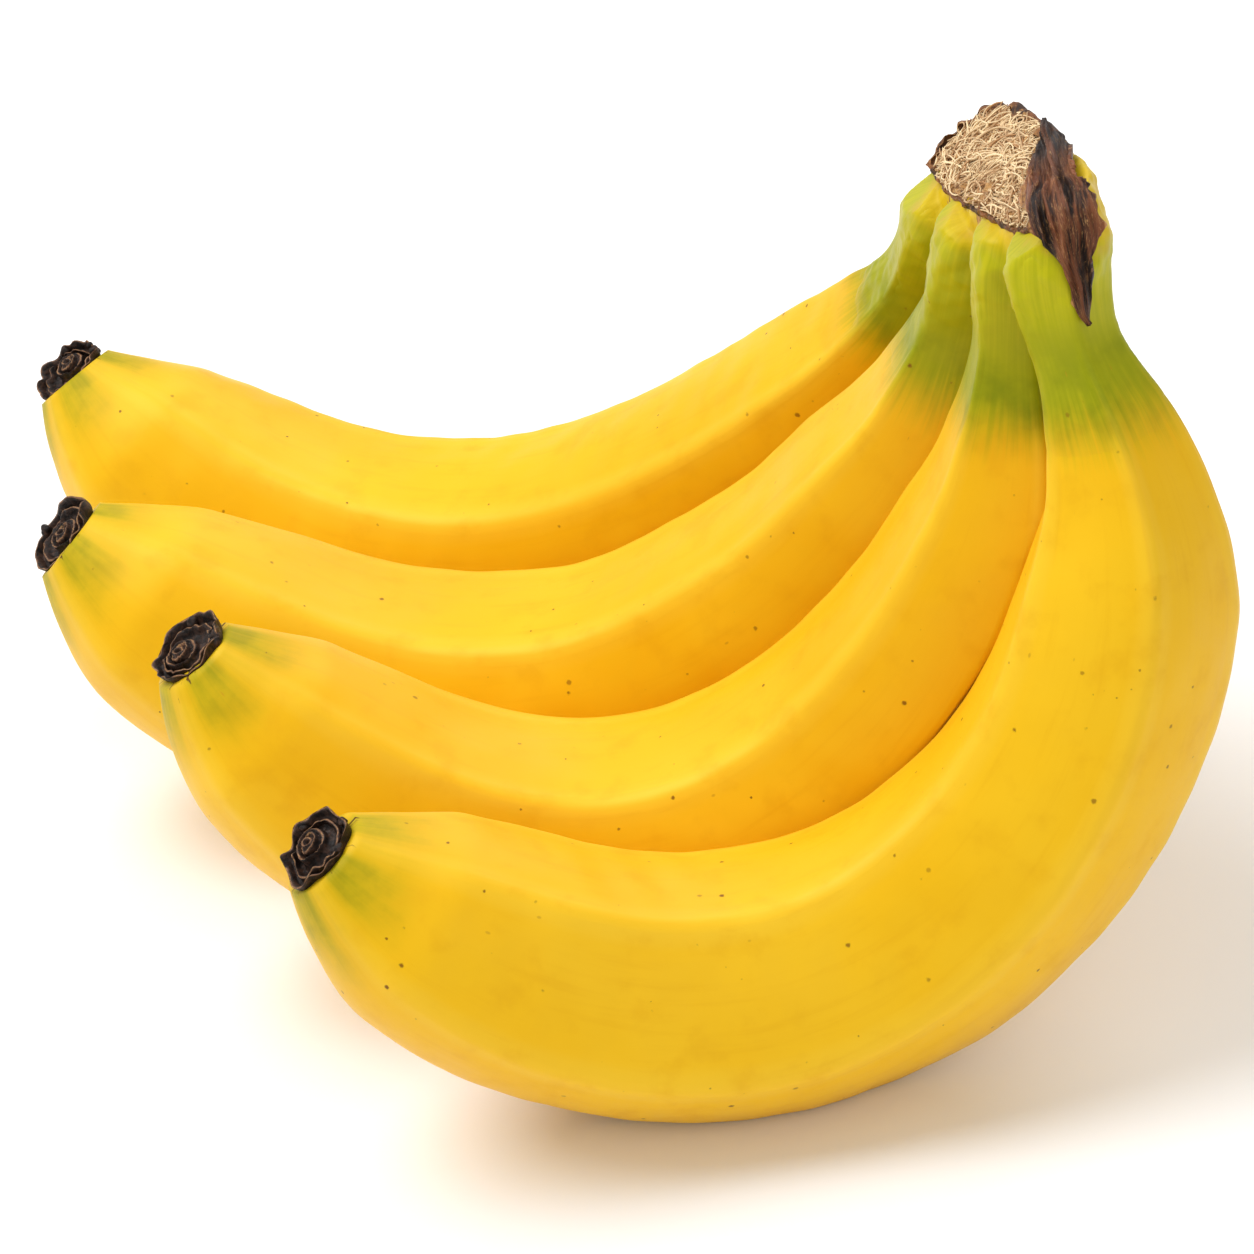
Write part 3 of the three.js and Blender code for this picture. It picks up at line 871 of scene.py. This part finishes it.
def rgb(red, green, blue):
    """A colour as seen on a screen, 0 to 255, in the shader's linear values."""
    linear = lambda v: v / 12.92 if v <= 0.04045 else ((v + 0.055) / 1.055) ** 2.4
    return (*[linear(v / 255) for v in (red, green, blue)], 1)


# %% [markdown]
# ## Ripe peel
# Yellow with a waxy sheen, green along the stalk and a little at the tip, a painted highlight on the
# ridges, faint streaks along the fruit and a sparse scatter of brown specks, up to a millimetre across.

# %% The peel's look
def peel_look():
    look = Look("ripe_peel")
    here, skin = look.here(), look.attribute("skin")
    stalk, tip, ridge = look.attribute("stalk"), look.attribute("tip"), look.attribute("ridge")
    broad = look.noise(here, 28, 3)
    streak = look.noise(look.stretch(skin, (1, 1, 0.07)), 700, 4, 0.6)
    fine_streak = look.noise(look.stretch(skin, (1, 1, 0.05)), 2600, 3, 0.6)
    mottle = look.noise(here, 170, 4, 0.55)

    yellow = look.mix(rgb(235, 180, 12), rgb(241, 190, 26), broad.ramp(0.3, 0.7))
    yellow = look.mix(yellow, rgb(228, 168, 8), streak.ramp(0.5, 0.8) * 0.4)
    # Painted highlight: the ridges are mixed towards a paler yellow, as if they caught the light.
    yellow = look.mix(yellow, rgb(246, 208, 70), ridge.ramp(0.5, 1.0) * 0.2)
    yellow = look.mix(yellow, rgb(224, 164, 10), mottle.ramp(0.5, 0.75) * 0.4)

    # Green runs from the knuckle down the stalk and fades out where the fruit fills.
    wandering = stalk + (broad * 9 + streak * 6 - 7.5)
    neck = wandering.ramp(31, 20) * (stalk.ramp(-2, 2) * 0.55 + 0.45)
    green = look.mix(rgb(170, 168, 8), rgb(190, 182, 20), streak.ramp(0.3, 0.75))
    deeper = wandering.ramp(6, 22) * (mottle.ramp(0.35, 0.7) * 0.4 + 0.4)
    colour = look.mix(yellow, look.mix(green, rgb(108, 124, 2), deeper), neck)
    # A little green is left at the tip, mostly between the ridges.
    blush = (tip + (broad * 10 + mottle * 4 - 7)).ramp(14, 2) * (0.95 - ridge.ramp(-0.4, 0.9) * 0.6)
    blush = blush * (0.82 + streak.ramp(0.35, 0.65) * 0.18)
    green = look.mix(rgb(136, 136, 2), rgb(172, 158, 6), mottle.ramp(0.35, 0.65))
    colour = look.mix(colour, green, blush * 0.9)

    # Specks, dashes and scuffs: some of the cells show one, each with its own size. The pores
    # roughen the specks' edges.
    pores = look.noise(here, 2300, 3, 0.6)
    rough = (pores - 0.5) * 0.12
    far, show, size, tone = look.cells(here, 290)
    speck = ((far + rough) / (size * size * 0.07 + 0.045)).ramp(1.3, 0.6) * show.ramp(0.34, 0.37)
    far, show, size, _ = look.cells(look.stretch(skin, (1, 1, 0.45)), 420)
    dash = (far / (size * 0.05 + 0.03)).ramp(1.3, 0.5) * show.ramp(0.8, 0.84)
    far, show, size, _ = look.cells(look.stretch(skin, (1, 1, 0.3)), 90)
    scuff = (far / (size * 0.05 + 0.02)).ramp(1.5, 0.3) * show.ramp(0.5, 0.55) * ridge.ramp(0.0, 0.7)
    colour = look.mix(colour, rgb(190, 132, 20), dash * 0.55)
    colour = look.mix(colour, rgb(150, 92, 20), scuff * 0.5)
    colour = look.mix(colour, rgb(112, 56, 8), speck * (tone * 0.55 + 0.4))

    # Brown creeps from the blossom end along the peel in short torn streaks.
    tear = look.noise(look.stretch(skin, (1, 1, 0.5)), 400, 4, 0.6)
    margin = (tip - tear.ramp(0.52, 0.8) * 3.0).ramp(1.3, 0.4)
    colour = look.mix(colour, rgb(84, 48, 24), margin)
    # Tan, cracked skin on the knuckles and a bruised line under the cut.
    knuckle = stalk.ramp(3.5, 0.5)
    patch = look.noise(here, 230, 4, 0.6).ramp(0.52, 0.66) * knuckle
    colour = look.mix(colour, rgb(196, 158, 56), patch * 0.5)
    nick = look.noise(look.stretch(here, (1, 1, 0.4)), 420, 3, 0.7, 0.6).ramp(0.68, 0.74) * knuckle
    colour = look.mix(colour, rgb(92, 48, 22), nick * 0.9)

    relief = pores * 0.3 + fine_streak * 0.25 + streak * 0.2
    look.set(Base_Color=colour, Roughness=mottle * 0.16 + pores * 0.1 + 0.32 + margin * 0.2 + blush * 0.15,
             Specular_IOR_Level=0.3, Specular_Tint=(1, 0.88, 0.45, 1),
             Normal=look.bump(relief, 0.05, 0.7))
    return look.material


# %% Dry fibres, dried skin and blossom ends
def fibre_look():
    look = Look("dry_fibres")
    here = look.here()
    tone = look.attribute("tone")
    grain = look.noise(here, 1500, 3, 0.6)
    patch = look.noise(here, 120, 3)
    colour = look.mix(rgb(166, 112, 58), rgb(244, 218, 172), tone.ramp(0.0, 0.7))
    colour = look.mix(colour, rgb(176, 122, 66), patch.ramp(0.55, 0.75) * 0.6)
    colour = look.mix(colour, rgb(148, 96, 46), grain.ramp(0.6, 0.85) * 0.45)
    look.set(Base_Color=colour, Roughness=grain * 0.2 + 0.62, Normal=look.bump(grain, 0.05, 0.6))
    return look.material


def bed_look():
    look = Look("matted_bed")
    here = look.here()
    mat = look.noise(here, 520, 5, 0.65, 1.2)
    fine = look.noise(here, 1800, 3, 0.6, 0.5)
    colour = look.mix(rgb(96, 58, 26), rgb(196, 146, 84), mat.ramp(0.35, 0.62))
    colour = look.mix(colour, rgb(236, 206, 150), fine.ramp(0.55, 0.75) * 0.6)
    look.set(Base_Color=colour, Roughness=fine * 0.15 + 0.72, Normal=look.bump(mat + fine * 0.4, 0.5, 1.0))
    return look.material


def rim_look():
    look = Look("curled_rim")
    here, edge = look.here(), look.attribute("edge")
    wrinkle = look.noise(here, 420, 5, 0.6, 0.8)
    fine = look.noise(here, 1700, 4, 0.6, 0.4)
    patch = look.noise(here, 110, 3)
    colour = look.mix(rgb(48, 27, 16), rgb(128, 78, 42), wrinkle.ramp(0.38, 0.66))
    colour = look.mix(colour, rgb(168, 104, 48), patch.ramp(0.45, 0.65) * 0.7)
    broken = fine.ramp(0.4, 0.6)
    vein = (wrinkle - 0.5).size().ramp(0.022, 0.004) * broken
    colour = look.mix(colour, rgb(196, 146, 88), vein * 0.75)
    # Painted highlight: tan along the leaf's free edge, where the curled lip catches the light.
    colour = look.mix(colour, rgb(170, 120, 66), edge.ramp(0.8, 0.98) * broken * 0.7)
    look.set(Base_Color=colour, Roughness=fine * 0.25 + 0.42, Specular_IOR_Level=0.3,
             Normal=look.bump(wrinkle + fine * 0.35, 0.6, 1.0))
    return look.material


def flap_look():
    look = Look("dried_skin")
    here, side, down, fold = look.here(), *[look.attribute(name) for name in ("side", "down", "fold")]
    # The pattern lies in the flap's own plane, drawn out down its length.
    place = Value(look, look.node("CombineXYZ", {}, {0: side * 12, 1: down * 5, 2: 0.0}).outputs[0])
    vein = look.noise(place, 1.5, 5, 0.62, 0.9)
    thread = look.noise(place, 5.5, 3, 0.6, 0.5)
    fine = look.noise(here, 1600, 4, 0.6)
    patch = look.noise(here, 130, 3)
    # Painted shade and highlight: the creases' height (fold) darkens the valleys and lightens the crests,
    # mixed with the veined pattern and a lighter lower part.
    crease_shade_and_tone = (fold * 0.3 + vein * 1.6 + down * 0.5).ramp(0.5, 1.15)
    painted_crest_highlight = (fold * 0.3 + vein + down * 0.15).ramp(0.6, 0.9) * thread.ramp(0.4, 0.6)
    lines = (vein - 0.5).size().ramp(0.016, 0.003) * thread.ramp(0.42, 0.6)
    # Painted highlight: a lighter tan along both edges of the flap.
    edge_highlight = (side - 0.5).size().ramp(0.485, 0.5) * fine.ramp(0.35, 0.55)
    colour = look.mix(rgb(34, 18, 11), rgb(126, 72, 42), crease_shade_and_tone)
    colour = look.mix(colour, rgb(176, 112, 62), painted_crest_highlight * 0.8)
    colour = look.mix(colour, rgb(142, 84, 48), patch.ramp(0.5, 0.7) * side.ramp(0.4, 0.8) * 0.7)
    colour = look.mix(colour, rgb(204, 154, 98), lines * 0.85)
    colour = look.mix(colour, rgb(16, 10, 8), down.ramp(0.36, 0.12) * side.ramp(0.7, 0.3) * 0.9)
    colour = look.mix(colour, rgb(190, 140, 84), edge_highlight * 0.8)
    look.set(Base_Color=colour, Roughness=fine * 0.25 + 0.36, Specular_IOR_Level=0.3,
             Normal=look.bump(vein + thread * 0.3 + fine * 0.1, 0.6, 1.0))
    return look.material


def blossom_look():
    look = Look("blossom_scar")
    here, edge = look.here(), look.attribute("edge")
    crumb = look.noise(here, 900, 5, 0.65, 0.6)
    fine = look.noise(here, 2600, 3, 0.6)
    colour = look.mix(rgb(22, 14, 10), rgb(76, 50, 36), crumb.ramp(0.4, 0.75))
    # Painted highlight: brown and then tan on the raised lips and the bud's rings, read from edge.
    colour = look.mix(colour, rgb(140, 98, 68), edge.ramp(0.3, 0.9) * crumb.ramp(0.3, 0.55) * 0.8)
    colour = look.mix(colour, rgb(190, 146, 96), edge.ramp(0.75, 1.0) * fine.ramp(0.45, 0.6) * 0.7)
    look.set(Base_Color=colour, Roughness=fine * 0.25 + 0.34, Specular_IOR_Level=0.25,
             Normal=look.bump(crumb + fine * 0.3, 0.25, 1.0))
    return look.material


# %% Every piece gets its look, its body and the CAD node that it stands for
PEEL, FIBRE, DRIED, BLOSSOM = "peel", "crown_fibre", "dried_skin", "blossom_end"
ripe = peel_look()
finishes = [(peels[i], ripe, PEEL, f"banana_{i + 1}") for i in range(4)]
finishes += [
    (crown_skin, ripe, PEEL, "crown"),
    (bed, bed_look(), FIBRE, "crown"),
    (strands, fibre_look(), FIBRE, "crown"),
    (rim, rim_look(), DRIED, "crown"),
    (flap, flap_look(), DRIED, "dried_flap"),
]
scar = blossom_look()
finishes += [(caps[i], scar, BLOSSOM, f"blossom_end_{i + 1}") for i in range(4)]
for piece, material, slot, node in finishes:
    piece.data.materials.clear()
    piece.data.materials.append(material)
    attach(piece, "root")
    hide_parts(node)
    print(piece.name, "stands for", node, "and is finished as", slot)

# %% [markdown]
# ## Camera, floor and light
# The camera looks down on the bunch from the front with a long lens, as the photographer did. The
# floor is a plain pale sheet, and large soft lamps light it from above, the key lamp from the left.

# %% The camera
SENSOR = 36  # millimetres
FOCUS = shift + [0, 0, CROWN_LIFT]
VIEW_RIGHT, VIEW_UP = np.array([0.99348, 0.00948, -0.11342]), np.array([0.09204, 0.51933, 0.84958])
VIEW_BACK = np.cross(VIEW_RIGHT, VIEW_UP)
DISTANCE = 950  # millimetres from the focus
FOCAL_SHARE = 6650 / 1254  # focal length as a share of the picture's width

camera = bpy.data.objects.new("camera", bpy.data.cameras.new("camera"))
scene.collection.objects.link(camera)
camera.data.sensor_width = SENSOR
camera.data.lens = SENSOR * FOCAL_SHARE
camera.data.clip_start, camera.data.clip_end = 0.05, 20
turned = Matrix(np.stack([VIEW_RIGHT, VIEW_UP, VIEW_BACK], axis=1)).to_4x4()
camera.matrix_world = Matrix.Translation(Vector((FOCUS + DISTANCE * VIEW_BACK) * MM)) @ turned
scene.camera = camera
print("camera at", [round(v, 3) for v in camera.location])

# %% The floor
deselect()
bpy.ops.mesh.primitive_plane_add(size=8, location=(0, 0, 0))
floor = bpy.context.object
floor.name = "floor"
paper = Look("pale_paper")
paper.set(Base_Color=(0.97, 0.97, 0.97, 1), Roughness=0.9)
floor.data.materials.append(paper.material)


# %% The lamps
def lamp(name, place, size, power, target=(0, 0, 0.04)):
    light = bpy.data.objects.new(name, bpy.data.lights.new(name, "AREA"))
    scene.collection.objects.link(light)
    light.data.shape = "DISK"
    light.data.size = size
    light.data.energy = power
    light.location = place
    light.rotation_euler = (Vector(target) - Vector(place)).to_track_quat("-Z", "Y").to_euler()


lamp("key", (-0.55, 0.1, 1.05), 1.0, 12)
lamp("front_fill", (0.5, -1.1, 0.7), 1.1, 3.6)
lamp("back_rim", (0.35, 0.8, 0.9), 1.0, 5)
world = bpy.data.worlds.new("studio")
scene.world = world
world.use_nodes = True
world.node_tree.nodes["Background"].inputs["Color"].default_value = (1, 1, 1, 1)
world.node_tree.nodes["Background"].inputs["Strength"].default_value = 0.46
scene.view_settings.view_transform = "Standard"
